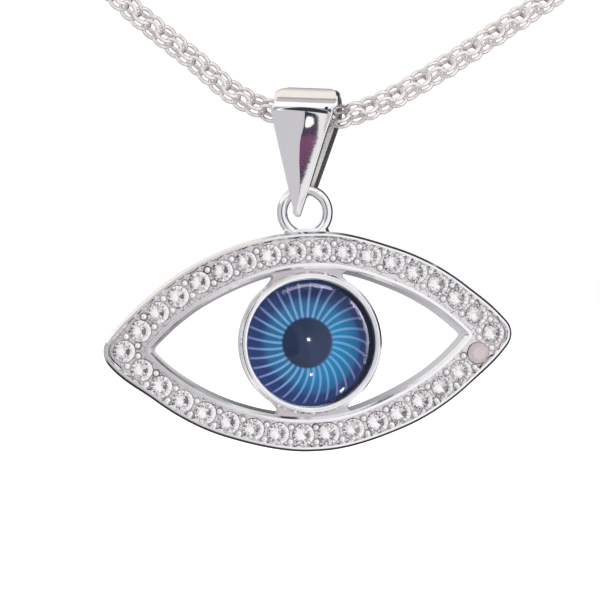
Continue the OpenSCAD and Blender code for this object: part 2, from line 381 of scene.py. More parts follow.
def seat_material():
    """The open floor between the stones is pale; the cone under them has patches of painted glint,
    grey and painted shade for the stones' sparkle.
    """
    m = silver("seat_silver", (0.84, 0.80, 0.81), (0.66, 0.62, 0.64), 0.24)
    tree = m.node_tree
    shader = tree.nodes["Principled BSDF"]
    flat = own_axes(tree)
    cells = tree.nodes.new("ShaderNodeTexVoronoi")
    tree.links.new(flat, cells.inputs["Vector"])
    cells.inputs["Scale"].default_value = 3.4
    part = tree.nodes.new("ShaderNodeSeparateColor")
    tree.links.new(cells.outputs["Color"], part.inputs[0])
    value = Num(tree, part.outputs[0])
    deep = parts(tree, flat)[2].ease(0.48, 0.44)
    # painted glints and painted shade: the cone under each stone in dark, grey and white cells
    foil_glints = blend(tree, value.ease(0.38, 0.42), (0.02, 0.018, 0.02), (0.34, 0.31, 0.32))
    foil_glints = blend(tree, value.ease(0.56, 0.60), foil_glints, (1.0, 0.97, 0.97))
    cuts = tree.nodes.new("ShaderNodeTexVoronoi")
    cuts.feature = "DISTANCE_TO_EDGE"
    tree.links.new(flat, cuts.inputs["Vector"])
    cuts.inputs["Scale"].default_value = 2.3
    line = Num(tree, cuts.outputs["Distance"]).ease(0.055, 0.02)
    line = line * noise(tree, flat, 1.7, 2).ease(0.40, 0.55)
    before = shader.inputs["Base Color"].links[0].from_socket
    before = blend(tree, line * 0.8, before, (0.16, 0.14, 0.15))
    put(tree, shader.inputs["Base Color"], blend(tree, deep, before, foil_glints))
    put(tree, shader.inputs["Metallic"], 1.0 - deep * 0.55)
    return m


silver_mat = silver("silver", (0.93, 0.93, 0.94), (0.86, 0.86, 0.88), 0.07)
seat_mat = seat_material()
bead_mat = silver("bead_silver", (0.96, 0.95, 0.96), (0.88, 0.86, 0.88), 0.16, gleam=0.8)
groove_mat = silver("groove_silver", (0.62, 0.58, 0.59), (0.07, 0.06, 0.065), 0.35, wear=1.0)
cast_mat = silver("cast_silver", (0.74, 0.70, 0.71), (0.60, 0.56, 0.58), 0.30)
chain_mat = silver("chain_silver", (0.90, 0.865, 0.85), (0.82, 0.785, 0.77), 0.20, gleam=0.75)
bail_mat = bail_material()
clasp_mat = silver("clasp_silver", (0.90, 0.90, 0.91), (0.83, 0.83, 0.85), 0.10)


def glass(name, tint, index, rough):
    """Clear glass that lets lamplight through to what lies under it."""
    m, tree, shader, flat = new_material(name)
    cloud = noise(tree, flat, 0.9, 2).ease(0.3, 0.8)
    put(tree, shader.inputs["Base Color"], blend(tree, cloud, tint, tuple(0.97 * v for v in tint)))
    fill(shader, {"Transmission Weight": 1, "IOR": index, "Roughness": rough})
    clear = tree.nodes.new("ShaderNodeBsdfTransparent")
    put(tree, clear.inputs["Color"], tuple(0.95 * v for v in tint))
    light = tree.nodes.new("ShaderNodeLightPath")
    mix = tree.nodes.new("ShaderNodeMixShader")
    tree.links.new(light.outputs["Is Shadow Ray"], mix.inputs[0])
    tree.links.new(shader.outputs[0], mix.inputs[1])
    tree.links.new(clear.outputs[0], mix.inputs[2])
    tree.links.new(mix.outputs[0], tree.nodes["Material Output"].inputs["Surface"])
    return m, shader


glass_mat, dome_shader = glass("dome_glass", (0.97, 0.985, 1.0), 1.5, 0.08)
dome_shader.inputs["Specular Tint"].default_value = (0.40, 0.43, 0.52, 1)
stone_mat, _ = glass("stone_glass", (1.0, 0.975, 0.975), 1.8, 0.0)


RAY_STEP = 360 / 32  # degrees from ray to ray


def iris_material():
    """The printed disc: swirled pale rays on steel blue, teal and navy round a dark pupil.

    Radii are millimetres as seen through the dome, and angles are degrees clockwise from the top.
    """
    m, tree, shader, flat = new_material("iris_print")
    x, up, _ = parts(tree, flat)
    x = x + 0.20  # the print sits left of the disc's middle
    gain = 1.12
    real = (x * x + up * up).sqrt()
    r = real * (1.07 - real * real * 0.0018)  # as the dome enlarges it
    angle = x.atan2(up) * DEGREES
    out = ((r - 2.1) / 2.2).most(0.0) ** 1.2
    swirl = (toward(angle, 155.0) * 7.0 + 8.5) * (out - 0.253)
    right = toward(angle, 118.0).ease(-0.25, 0.85)
    steel, teal, navy = srgb(38, 96, 142, gain), srgb(4, 118, 168, gain), srgb(28, 54, 104, gain)
    ground = blend(tree, right, steel, teal)
    ground = blend(tree, r.ease(2.85, 3.7) * (1.0 - right * 0.7), ground, navy)
    ground = blend(tree, r.ease(3.7, 4.2), ground, navy)
    near = ((((angle - 4.0) - swirl) / RAY_STEP + 0.5).frac() - 0.5).abs() * RAY_STEP
    half = r.most(1.0) ** -1.0 * 5.4
    ray = near.ease(half * 1.4, half * 0.5) * r.ease(4.72, 4.35)
    bright, lilac = srgb(110, 168, 204, gain), srgb(122, 130, 190, gain)
    ink = blend(tree, r.ease(2.9, 4.3), bright, lilac)
    colour = blend(tree, ray * (0.94 - right * 0.12), ground, ink)
    haze = r.ease(2.35, 1.95)
    colour = blend(tree, haze * 0.10, colour, srgb(90, 140, 190, gain))
    low = toward(angle, 135.0).ease(-0.2, 1.0)
    pupil = blend(tree, low, srgb(24, 42, 68, gain), srgb(38, 50, 78, gain))
    # a painted caustic: lighter teal at the pupil's edge toward the lower right, where the dome
    # focuses light onto the print
    painted_caustic = ((angle - 122.0).abs().ease(48.0, 22.0)) * r.ease(1.68, 1.95)
    pupil = blend(tree, painted_caustic * 0.6, pupil, srgb(30, 116, 160, gain))
    colour = blend(tree, r.ease(2.03, 1.81), colour, pupil)
    # painted shade: a dark crescent inside the print's right edge and a dark ring round its whole
    # edge, under the bezel's wall
    shade = toward(angle, 98.0).ease(0.1, 0.7)
    colour = blend(tree, r.ease(4.64, 4.76) * shade, colour, srgb(10, 12, 26, gain))
    colour = blend(tree, r.ease(4.74, 4.95), colour, srgb(16, 18, 40, gain))
    grain = noise(tree, flat, 14.0, 2)
    colour = blend(tree, grain.ease(0.35, 0.75) * 0.10, colour, (0.0, 0.0, 0.02))
    put(tree, shader.inputs["Base Color"], colour)
    fill(shader, {"Roughness": 0.5, "Specular IOR Level": 0.2})
    return m


print_mat = iris_material()

# The eye's outline

# two arcs about points OFFSET below and above the middle, joined by small tips
OFFSET, OUTER_ARC, ROW_ARC, INNER_ARC = 11.1439, 19.6689, 18.2439, 16.8489
SEAT_FLOOR = 0.5  # the channel's floor, in front of the eye's middle plane
CHANNEL = (0.44, 2.70)  # the floor's edges, measured in from the outline
ARC_STEPS = 17  # from stone to stone along one arc, tip to tip
STONES = 2 * ARC_STEPS
ROW_DEPTH = 1.4  # rims further in than this belong to the inner edge


def tip_radius(d):
    return float(np.interp(d, [0, 0.5, 2.35, 2.82, 3.1], [1.5, 1.0, 0.7, 0.6, 0.5]))


def outline(d, arc=90, tip=14):
    """Points and outward normals of the eye shape d inside its edge, clockwise from the left."""
    t, radius = tip_radius(d), OUTER_ARC - d
    c = math.sqrt((radius - t) ** 2 - OFFSET ** 2)
    phi = math.atan2(c, OFFSET)
    points, normals = [], []
    for start, stop, count, centre, rad in (
            (-phi, phi, arc, (0, -OFFSET), radius), (phi, math.pi - phi, tip, (c, 0), t),
            (math.pi - phi, math.pi + phi, arc, (0, OFFSET), radius),
            (math.pi + phi, 2 * math.pi - phi, tip, (-c, 0), t)):
        a = np.linspace(start, stop, count, endpoint=False)
        n = np.stack([np.sin(a), np.cos(a)], -1)
        points.append(n * rad + centre)
        normals.append(n)
    return np.concatenate(points), np.concatenate(normals)


def inside_outline(p, d):
    """Below 0 inside the eye shape that lies d inside the edge."""
    t, radius = tip_radius(d), OUTER_ARC - d
    c = math.sqrt((radius - t) ** 2 - OFFSET ** 2)
    q = np.abs(p)
    along = (q[..., 1] + OFFSET) * c - q[..., 0] * OFFSET
    tip = np.hypot(q[..., 0] - c, q[..., 1]) - t
    arc = np.hypot(q[..., 0], q[..., 1] + OFFSET) - radius
    return np.where(along < 0, tip, arc)


ROW_ANGLE = math.degrees(math.acos(OFFSET / ROW_ARC))
ROW_STEP = 2 * ROW_ANGLE / ARC_STEPS


def row_place(steps, shift=0.0):
    """A place on the row of stones and the direction along it, by steps from the left tip.

    The right tip is at ARC_STEPS, and the left tip comes again at STONES.
    """
    side, i = (1, steps) if steps < ARC_STEPS else (-1, steps - ARC_STEPS)
    a = math.radians(ROW_ANGLE - i * ROW_STEP)
    p = np.array([-(ROW_ARC + shift) * math.sin(a), (ROW_ARC + shift) * math.cos(a) - OFFSET])
    return side * p, a + (0 if side > 0 else math.pi)


def lift(flat, height):
    """Flat points with one height for all."""
    return np.concatenate([flat, np.full((len(flat), 1), height)], 1)


def ramp(v, a, b):
    """0 up to a and 1 from b on, smooth between; v is a number or an array."""
    t = np.clip((v - a) / (b - a), 0, 1)
    return t * t * (3 - 2 * t)


def settle(p):
    """The real eye's right half is a touch narrower and higher than a mirror of the left."""
    out = np.array(p, float)
    x = out[..., 0].copy()
    out[..., 0] -= 0.20 * ramp(x, 2, 15)
    out[..., 1] += 0.08 * ramp(x, 0, 8)
    return out


def rim_shift(p, d):
    """How much further in the rims run than a true offset: the cast rims vary in width."""
    x, low = p[:, 0], ramp(-p[:, 1], -1.5, 1.5)
    high = 1 - low
    right, left, middle = ramp(x, 1, 7), ramp(-x, 1, 7), 1 - ramp(np.abs(x), 2, 9)
    if d > ROW_DEPTH:
        return (0.28 + 0.06 * high) * right + (0.06 * low + 0.20 * high) * left
    ends = 1 - ramp(np.abs(x), 12.5, 15.5)
    sides = right * (0.20 + 0.04 * low + 0.12 * high * ramp(-x, -12, -4)) + 0.26 * left * low
    return (ends * sides + middle * (0.15 * low - 0.05 * high)
            - 0.18 * ramp(-x, 12.5, 15.5))


# Band, seats and beads
band = Shell()
# the band's section from the channel's outer wall round the back to its inner wall: in from the
# edge, front, corner radius
section, section_n = rounded([
    (0.48, 0.40, 0), (0.48, 0.60, 0.02), (0.34, 0.95, 0.03), (0.19, 0.95, 0.05), (0.0, 0.74, 0.05),
    (0.0, -0.95, 0.12), (3.04, -0.95, 0.10), (2.83, 0.72, 0.05), (2.62, 0.95, 0.04),
    (2.37, 0.95, 0.04), (2.37, 0.40, 0)], -1, 3)
rows, rows_n = [], []
for (d, f), (nd, nf) in zip(section, section_n):
    p, n = outline(d)
    p = settle(p - n * rim_shift(p, d)[:, None])
    rows.append(lift(p, f))
    rows_n.append(lift(-nd * n, nf))
band.grid(np.array(rows), np.array(rows_n), across=True)

SEAT_RADIUS, SPOKES = 0.86, 32
HALVINGS, FAR = 30, 3.0  # each search for a tile's edge halves a span of FAR this often


def beyond_channel(p):
    """Below 0 on the channel's floor."""
    return np.maximum(inside_outline(p, CHANNEL[0]), -inside_outline(p, CHANNEL[1]))


centres = [row_place(k)[0] for k in range(STONES)]
seats = Shell()
for k in range(STONES):
    # a stone's tile of the floor ends at the floor's edges and halfway to its neighbours
    here, sides = centres[k], []
    for other in (centres[k - 1], centres[(k + 1) % STONES]):
        sides.append(((here + other) / 2, (other - here) / np.linalg.norm(other - here)))

    def beyond(p):
        g = beyond_channel(p)
        for mid, u in sides:
            g = np.maximum(g, (p - mid) @ u)
        return g

    angles = list(circle(SPOKES))
    for mid, u in sides:
        w = np.array([-u[1], u[0]])
        for sign in (-1, 1):
            lo, hi = 0.0, FAR
            for _ in range(HALVINGS):
                m = (lo + hi) / 2
                if beyond_channel(mid + sign * m * w) < 0:
                    lo = m
                else:
                    hi = m
            v = mid + sign * lo * w - here
            angles.append(math.atan2(v[1], v[0]) % (2 * math.pi))
    a = np.array(sorted(angles))
    ray = np.stack([np.cos(a), np.sin(a)], -1)
    lo, hi = np.full(len(a), 0.8), np.full(len(a), FAR)
    for _ in range(HALVINGS):
        m = (lo + hi) / 2
        free = beyond(here + ray * m[:, None]) < 0
        lo, hi = np.where(free, m, lo), np.where(free, hi, m)
    rings, ring_n = [], []
    cone = np.array([0.69, 0.86]) / math.hypot(0.69, 0.86)
    for reach, level, normal in (
            (lo, SEAT_FLOOR, (0, 1)), (np.minimum(SEAT_RADIUS + 0.04, lo), SEAT_FLOOR, (0, 1)),
            (SEAT_RADIUS, SEAT_FLOOR - 0.035, cone), (0.45, 0.171, cone), (0.02, -0.18, cone)):
        rings.append(lift(settle(here + ray * np.reshape(reach, (-1, 1))), level))
        ring_n.append(lift(-ray * normal[0], normal[1]))
    seats.grid(np.array(rings), np.array(ring_n), across=True)

BEAD, BEAD_SHIFT = 0.25, 0.555  # a bead's radius, and how far it stands off the row's middle
ball, groove = Shell(), Shell()
e = np.linspace(-0.25, math.pi / 2, 8)[:, None]
a = circle(18)[None]
bead_n = np.stack([np.cos(e) * np.cos(a), np.cos(e) * np.sin(a), np.sin(e) + 0 * a], -1)
lip = SEAT_FLOOR + 0.012
moat = [(0.20, lip, 0), (0.30, lip, 0.01), (0.36, SEAT_FLOOR - 0.02, 0)]
for k in range(STONES):
    for shift in (-BEAD_SHIFT, BEAD_SHIFT):
        p, _ = row_place(k + 0.5, shift)
        if shift < 0:
            # the inner beads follow the wider rim on the right
            p, _ = row_place(k + 0.5, shift - 0.16 * float(ramp(p[0], 1, 7)))
        p = settle(p)
        ball.grid(bead_n * BEAD + [*p, SEAT_FLOOR], bead_n, across=True)
        cut_p, cut_n = lathe(moat, -1, 20, 2, p)
        groove.grid(cut_p, cut_n * 0 + [0, 0, 1], across=True)

# Bezel, bridges and loop
BEZEL_RADIUS = 5.5
SUNK = 0.12  # how far a bridge runs into the bezel and into the band
bezel = Shell()
bezel.grid(*lathe([
    (0, -0.45, 0), (4.95, -0.45, 0.02), (4.95, 1.44, 0.05), (5.14, 1.45, 0.04),
    (5.18, 1.40, 0.02), (5.22, 1.45, 0.04), (5.32, 1.43, 0.05), (BEZEL_RADIUS, 1.20, 0.06),
    (BEZEL_RADIUS, -0.95, 0.12), (0, -0.95, 0)], 1, 160), across=True)
bridges = Shell()
for up_side in (1, -1):
    u = np.linspace(-1, 1, 33)
    # across, front, and the normal's share of each
    edge = [(-1, -0.8, -1, 0), (-1, 0.60, -1, 0), (-0.985, 0.67, -0.7, 0.7), (-0.96, 0.70, 0, 1)]
    cells = edge + [(s, 0.70, 0, 1) for s in u if abs(s) < 0.95]
    cells += [(-s, f, -nx, nf) for s, f, nx, nf in edge[::-1]]
    cells += [(1, -0.8, 0, -1), (-1, -0.8, 0, -1)]
    grid_points, grid_normals = [], []
    for v in np.linspace(0, 1, 9):
        half = 2.72 + 0.75 * (2 * v - 1) ** 2
        row, row_n = [], []
        for s, f, nx, nf in cells:
            px = s * half
            low = math.sqrt(BEZEL_RADIUS ** 2 - px * px) - SUNK
            high = math.sqrt(INNER_ARC ** 2 - px * px) - OFFSET + SUNK
            row.append((px, up_side * (low + v * (high - low)), f))
            row_n.append((nx, 0, nf))
        grid_points.append(row)
        grid_normals.append(row_n)
    bridges.grid(np.array(grid_points), np.array(grid_normals, float))

loop = Shell()
LOOP_UP, LOOP_RING, LOOP_WIRE = 10.09, 1.775, 0.40
a, b = circle(72)[:, None], circle(24)[None]
n = np.stack([np.cos(a) * np.cos(b), np.sin(a) * np.cos(b), np.sin(b) + 0 * a], -1)
p = np.stack([np.cos(a) * LOOP_RING + 0 * b, np.sin(a) * LOOP_RING + 0 * b, 0 * a + 0 * b], -1)
loop.grid(p + n * LOOP_WIRE + [-0.07, LOOP_UP, 0], n, across=True, along=True)
# solder between the loop and the band, a rounded block that widens downward
FOOT_POINTS = 40
c = circle(FOOT_POINTS)
wide, thick = (np.sign(w) * np.abs(w) ** 0.4 for w in (np.cos(c), np.sin(c)))
side_n = np.stack([np.cos(c) ** 3, np.full(FOOT_POINTS, 0.1), np.sin(c) ** 3], -1)
side_n = side_n / np.linalg.norm(side_n, axis=1, keepdims=True)
foot, foot_n = [], []
for v in np.linspace(0, 1, 7):
    up = 8.20 + 0.62 * v
    half = 1.86 - 0.20 * v + 0.10 * (1 - v) ** 3
    deep = 0.375 + 0.22 * (1 - v) ** 3
    foot.append(np.stack([wide * half, np.full(FOOT_POINTS, up), thick * deep], -1))
    foot_n.append(side_n)
loop.grid(np.array(foot), np.array(foot_n), across=True)
top = foot[-1]
loop.grid(np.array([top, top * [0, 1, 0]]), np.array([[(0, 1, 0)] * FOOT_POINTS] * 2, float),
          across=True)

for name, shell, place, material in (
        ("eye_band", band, in_eye, silver_mat), ("crystal_seats", seats, in_eye, seat_mat),
        ("bead_setting", ball, in_eye, bead_mat), ("bead_grooves", groove, in_eye, groove_mat),
        ("round_bezel", bezel, in_bezel, silver_mat),
        ("bezel_bridges", bridges, in_bezel, cast_mat), ("top_loop", loop, in_eye, silver_mat)):
    mesh(name, shell, place, "eye", ["eye_frame"], material)

# Iris and glass
disc = Shell()
disc.grid(*lathe([(0, -0.39, 0), (4.86, -0.39, 0.02), (4.86, -0.09, 0.02), (0, -0.09, 0)],
                 -1, 96), across=True)
mesh("printed_iris", disc, in_bezel, "eye", ["iris_disc"], print_mat)

DOME, DOME_TOP = 9.24, 2.4  # the dome's radius of curvature and how far forward it reaches
edge_angle = math.asin(4.87 / DOME)
p, n = rounded([(0, -0.13, 0), (4.89, -0.13, 0.02), (4.89, 0.95, 0.03), (4.88, 1.0, 0)], -1)
p, n = p[:-1], n[:-1]  # the arc below starts where the last point would lie
arc = np.linspace(edge_angle, 0, 40)
dome_p = np.stack([DOME * np.sin(arc), DOME * np.cos(arc) - DOME + DOME_TOP], -1)
dome_n = np.stack([np.sin(arc), np.cos(arc)], -1)
dome = Shell()
dome.grid(spun(np.concatenate([p, dome_p]), 128), spun(np.concatenate([n, dome_n]), 128),
          across=True)
dome_piece = mesh("glass_dome", dome, in_bezel, "eye", ["eye_cabochon"], glass_mat)

# Crystals
CUT, POINT = 0.83, 0.64  # a stone's radius, and its depth below the girdle
MILKY = 18  # the dull stone's place, counted along the row


def about(radius, degrees, height):
    a = math.radians(degrees)
    return (radius * math.cos(a), radius * math.sin(a), height)


# a round brilliant: table 0-7, star 8-15, girdle 16-31 and 32-47, pavilion 48-55, point 56
cut = ([about(0.56 * CUT, 45 * k, 0.35 * CUT) for k in range(8)]
       + [about(0.79 * CUT, 45 * k + 22.5, 0.20 * CUT) for k in range(8)]
       + [about(CUT, 22.5 * k, 0.05 * CUT) for k in range(16)]
       + [about(CUT, 22.5 * k, 0) for k in range(16)]
       + [about(0.25 * CUT, 45 * k + 22.5, -0.78 * POINT) for k in range(8)] + [(0, 0, -POINT)])
cut = np.array(cut)
cut_faces = ([[0, 1, 2, 3, 4, 5, 6, 7]]
             + [[8 + k, (k + 1) % 8, k] for k in range(8)]
             + [[16 + 2 * k, 8 + k, k] for k in range(8)]
             + [[8 + k, 16 + (2 * k + 2) % 16, (k + 1) % 8] for k in range(8)]
             + [[16 + 2 * k, 16 + 2 * k + 1, 8 + k] for k in range(8)]
             + [[16 + 2 * k + 1, 16 + (2 * k + 2) % 16, 8 + k] for k in range(8)]
             + [[32 + k, 32 + (k + 1) % 16, 16 + (k + 1) % 16, 16 + k] for k in range(16)]
             + [[48 + k, 32 + 2 * k + 1, 32 + 2 * k] for k in range(8)]
             + [[48 + k, 32 + (2 * k + 2) % 16, 32 + 2 * k + 1] for k in range(8)]
             + [[56, 48 + k, 32 + 2 * k] for k in range(8)]
             + [[48 + k, 56, 32 + (2 * k + 2) % 16] for k in range(8)])
rng = np.random.default_rng(7)
stones, milky = Shell(), Shell()
for k in range(STONES):
    here, along = row_place(k)
    spin = math.degrees(along) + float(rng.uniform(-22, 22))
    tip, roll = float(rng.normal(0, 1.6)), float(rng.normal(0, 1.6))
    lean = turn("z", spin) @ turn("x", tip) @ turn("y", roll)
    target = milky if k == MILKY else stones
    target.add(cut @ lean.T + [*settle(here), SEAT_FLOOR + 0.06], cut_faces, cut * 0 + [0, 0, 1])
mesh("clear_crystals", stones, in_eye, "eye", ["crystals"], stone_mat, smooth=False)
milk_mat, milk = glass("milky_stone", (0.56, 0.50, 0.50), 1.6, 0.4)
milk.inputs["Transmission Weight"].default_value = 0.25
mesh("dull_crystal", milky, in_eye, "eye", ["crystals"], milk_mat, smooth=False)

# Bail
ROLL, CUP, SHEET = 1.87, 1.295, 0.45  # outer radii of the roll and lower fold; thickness
LEG_DEGREES = 5.546  # how far the legs lean toward each other
LEG = math.radians(LEG_DEGREES)
LEG_TOP, TIP, BOTTOM = -0.181, -7.75, -8.078  # heights along the front leg
TIP_HALF = 0.29


def face_half(z):
    """Half the bail's width at a height, as its outline from the front."""
    if z > 1.27:
        return 1.78 + math.sqrt(max(0.36 - (z - 1.27) ** 2, 0))
    if z > TIP:
        return min(2.38, TIP_HALF + TAPER * (z - TIP))
    return math.sqrt(max(TIP_HALF ** 2 - ((z - TIP) * 0.86) ** 2, 0.0009))


def smooth(v, a, b):
    """ramp() for one plain number, much faster than with numpy."""
    t = min(max((v - a) / (b - a), 0), 1)
    return t * t * (3 - 2 * t)


def ridge_front(x, y, z, half):
    """How far forward the ridged plate stands.

    It has a flat left facet, a rounded right one, and an arched line where both meet the roll.
    """
    ridge = 0.27 * smooth(z, -2.6, -0.8) + 0.10 * smooth(-z, 3.6, 5.5) - 0.20 * smooth(-z, 6.4, 7.6)
    if x < ridge:
        share = min((ridge - x) / (half + ridge), 1)
        shape = 1 - share
    else:
        share = min((x - ridge) / (half - ridge), 1)
        shape = 1 - 0.345 * share - 0.655 * share * share
    bend = 0.044 * max(z + 2.2, 0) ** 2 + 0.004 * min(z + 2.2, 0) ** 2 - 0.16
    plate = -1.861 - 0.0971 * (z - LEG_TOP) + bend - 0.126 * half * shape
    return y + min(plate - y, 0) * smooth(0.24 - 0.06 * x * x - z, 0, 0.08)


# the sheet's centre line and its outward normal, each as (y, z): up the front, over the roll,
# down the back and round the lower fold
stations = []
mid_roll, mid_cup = ROLL - SHEET / 2, CUP - SHEET / 2
front_n = np.array([-math.cos(LEG), -math.sin(LEG)])
down = np.array([math.sin(LEG), -math.cos(LEG)])
levels = [*np.linspace(BOTTOM, TIP, 9), *np.linspace(-7.6, -1.4, 26),
          *np.linspace(-1.3, -0.2, 18)]
for z in levels:
    t = (z - LEG_TOP) / down[1]
    stations.append((front_n * mid_roll + down * t, front_n))
roll_front = list(np.linspace(-LEG_DEGREES, 28, 34))[1:]
for a in roll_front + list(np.linspace(31, 180 + LEG_DEGREES, 44)):
    n = np.array([-math.cos(math.radians(a)), math.sin(math.radians(a))])
    stations.append((n * mid_roll + [0, 0.09 * max(n[1], 0) ** 2], n))
back_n = np.array([math.cos(LEG), -math.sin(LEG)])
back_down = np.array([-math.sin(LEG), -math.cos(LEG)])
run = BAIL_DROP * math.cos(LEG)
for t in np.linspace(0.2, run, 22):
    stations.append((back_n * mid_roll + back_down * t, back_n))
for a in np.linspace(-LEG_DEGREES, LEG_DEGREES - 180, 26)[1:]:
    n = np.array([math.cos(math.radians(a)), math.sin(math.radians(a))])
    stations.append((n * mid_cup + [0, -BAIL_DROP], n))

EDGE = 0.09  # the radius of the sheet's rounded edges
BAIL_LEFT, TUCK_LEFT = 0.2, 0.42  # the front stands left, as does the back leg's hidden end
across = [-1.0, -0.97, -0.9, -0.8, -0.7, -0.6, -0.5, -0.4, -0.3, -0.2, -0.12, -0.06, -0.03, 0.0]
across += [-v for v in across[-2::-1]]
corner = [math.radians(v) for v in (22.5, 45, 67.5, 90)]
bail = []
for index, (c, n) in enumerate(stations):
    ring = []
    front = index < len(levels) + len(roll_front)

    def put_point(v, e, o):
        """v across, e in from the edge, o out from the centre line."""
        y, z = c + n * o
        half = max(face_half(z), 0.02)
        # the back leg's end hides behind the tip
        tucked = smooth(-z, 5.6, 6.8) * smooth(c[0], -1.2, 0.4)
        half *= 1 - 0.35 * tucked
        wide_edge = EDGE + 0.22 * smooth(z, 0.05, 0.5)
        keep = max(half - min(wide_edge, half * 0.5) * e, 0.01)
        px = v * keep
        if front and o > 0:
            fade = min(o / (SHEET / 2), 1)
            y = y + (ridge_front(px, y, z, half) - y) * fade
        px = px - BAIL_LEFT + BAIL_LEFT * smooth(c[0], -0.5, 1.5) - TUCK_LEFT * tucked
        # the roll's front flares to the right
        px += (0.22 + 0.13 * v) * smooth(z, 0.1, 0.6) * smooth(-c[0], -0.9, 0.3)
        ring.append((px, y, z))

    def put_corner(side, face, radius, turns):
        """One rounded edge of the sheet; face is 1 on its outside and -1 on its inside."""
        for k in turns:
            put_point(side, 1 - math.sin(k), face * (SHEET / 2 - radius * (1 - math.cos(k))))

    turn_in = EDGE + 0.11 * smooth(c[1], 0.05, 0.5)
    for v in across:
        put_point(v, 1, SHEET / 2)
    put_corner(1, 1, turn_in, corner)
    put_corner(1, -1, EDGE, corner[::-1])
    for v in (1.0, 0.5, 0.0, -0.5, -1.0):
        put_point(v, 1, -SHEET / 2)
    put_corner(-1, -1, EDGE, corner)
    put_corner(-1, 1, turn_in, corner[::-1])
    bail.append(ring)
bail = np.array(bail)
strap = Shell()
outward = np.zeros_like(bail)
for i, (c, n) in enumerate(stations):
    outward[i] = bail[i] - [0, *c]
strap.grid(bail, outward, across=True)
strap.faces.append(list(range(bail.shape[1])))  # closes the tip
# the solid wedge behind the tip, where the back leg's sheet joins the plate
wedge, wedge_n = [], []
for z, back in ((-6.1, 0.0), (-6.5, 0.86), (-6.8, 0.80), (-7.2, 0.40), (-7.6, 0.0), (-7.8, -0.4)):
    half = max(face_half(z) - 0.10, 0.08)
    frontal = front_n[0] * ROLL + down[0] * (z - LEG_TOP) / down[1] + 0.1
    rear = half * 0.7
    wedge.append([
        (-half - BAIL_LEFT, frontal, z), (-rear - 0.6, back - 0.08, z), (-rear - 0.52, back, z),
        (rear - 0.68, back, z), (rear - 0.6, back - 0.08, z), (half - BAIL_LEFT, frontal, z)])
    wedge_n.append([
        (-1, 0, 0), (-1, 0.2, 0), (-0.3, 1, -0.3), (0.3, 1, -0.3), (1, 0.2, 0), (1, 0, 0)])
strap.grid(np.array(wedge, float), np.array(wedge_n, float))
bail_piece = mesh("folded_bail", strap, in_bail, "bail", ["bail"], bail_mat,
                  smooth="auto")
weighted = bail_piece.modifiers.new("even", "WEIGHTED_NORMAL")
weighted.weight = 60
weighted.keep_sharp = True

# Chain

# the necklace's route from the bail up each side: first in millimetres from the bail, then as
# shares of half the neck's width, of REACH and of DROP
HALF_NECK = 61.5
front_left = [[-3, 0.55, 0.30], [-5.2, 0.8, 1.28], [-8.8, 1, 4.18], [-13.8, 1.2, 8.27]]
front_right = [[3, -0.55, -0.2], [5.6, -0.75, 0.72], [9.6, -0.7, 2.95], [15.1, -0.3, 6.55]]
side_left = [[-0.344, 0.019, 0.138], [-0.508, 0.052, 0.227], [-0.697, 0.118, 0.347],
             [-0.861, 0.236, 0.489], [-0.967, 0.387, 0.649], [-0.984, 0.557, 0.796],
             [-0.893, 0.717, 0.893], [-0.705, 0.858, 0.956], [-0.443, 0.958, 0.991]]
side_right = [[0.377, 0.009, 0.107], [0.541, 0.038, 0.182], [0.713, 0.094, 0.284],
              [0.869, 0.198, 0.431], [0.975, 0.34, 0.6], [1, 0.519, 0.769],
              [0.918, 0.698, 0.884], [0.721, 0.858, 0.956], [0.443, 0.958, 0.991]]


def whole_side(front, side, sign):
    far = [[a * HALF_NECK, b * REACH, c * DROP] for a, b, c in side]
    return front + far + [[sign * 10, REACH, DROP], [sign * 4, REACH, DROP]]


route = np.array(whole_side(front_left, side_left, -1)[::-1]
                 + whole_side(front_right, side_right, 1), float) - [0, REACH, DROP]
gaps = np.linalg.norm(np.diff(route, axis=0), axis=1)
slopes = [(route[1] - route[0]) / gaps[0]]
for i in range(1, len(route) - 1):
    before, after = (route[i] - route[i - 1]) / gaps[i - 1], (route[i + 1] - route[i]) / gaps[i]
    slopes.append((gaps[i] * before + gaps[i - 1] * after) / (gaps[i - 1] + gaps[i]))
slopes.append((route[-1] - route[-2]) / gaps[-1])
line = []
for i in range(len(route) - 1):
    t = np.linspace(0, 1, 200, endpoint=False)[:, None]
    line.append((2 * t ** 3 - 3 * t ** 2 + 1) * route[i]
                + (t ** 3 - 2 * t ** 2 + t) * gaps[i] * slopes[i]
                + (3 * t ** 2 - 2 * t ** 3) * route[i + 1]
                + (t ** 3 - t ** 2) * gaps[i] * slopes[i + 1])
line = np.concatenate(line + [route[-1:]])
length = np.concatenate([[0], np.cumsum(np.linalg.norm(np.diff(line, axis=0), axis=1))])
# where the route passes through the bail, in front and not at the nape
middle = length[np.argmin(np.abs(line[:, 0]) + 1000 * (line[:, 1] > -100))]
# radii of a ring and its wire, half the distance between a pair, and the step between pairs
RING, WIRE, APART, PITCH = (1.79 - 0.30) / 2, 0.15, 0.34, 1.135
PHASE = 0.3  # the first pair's place after the middle
END_ROOM = 0.9  # the pairs stop this short of the route's ends
FINE_REACH = 38  # rings this near the middle are round enough for a close view


def on_route(s):
    return np.array([np.interp(s, length, line[:, k]) for k in range(3)])


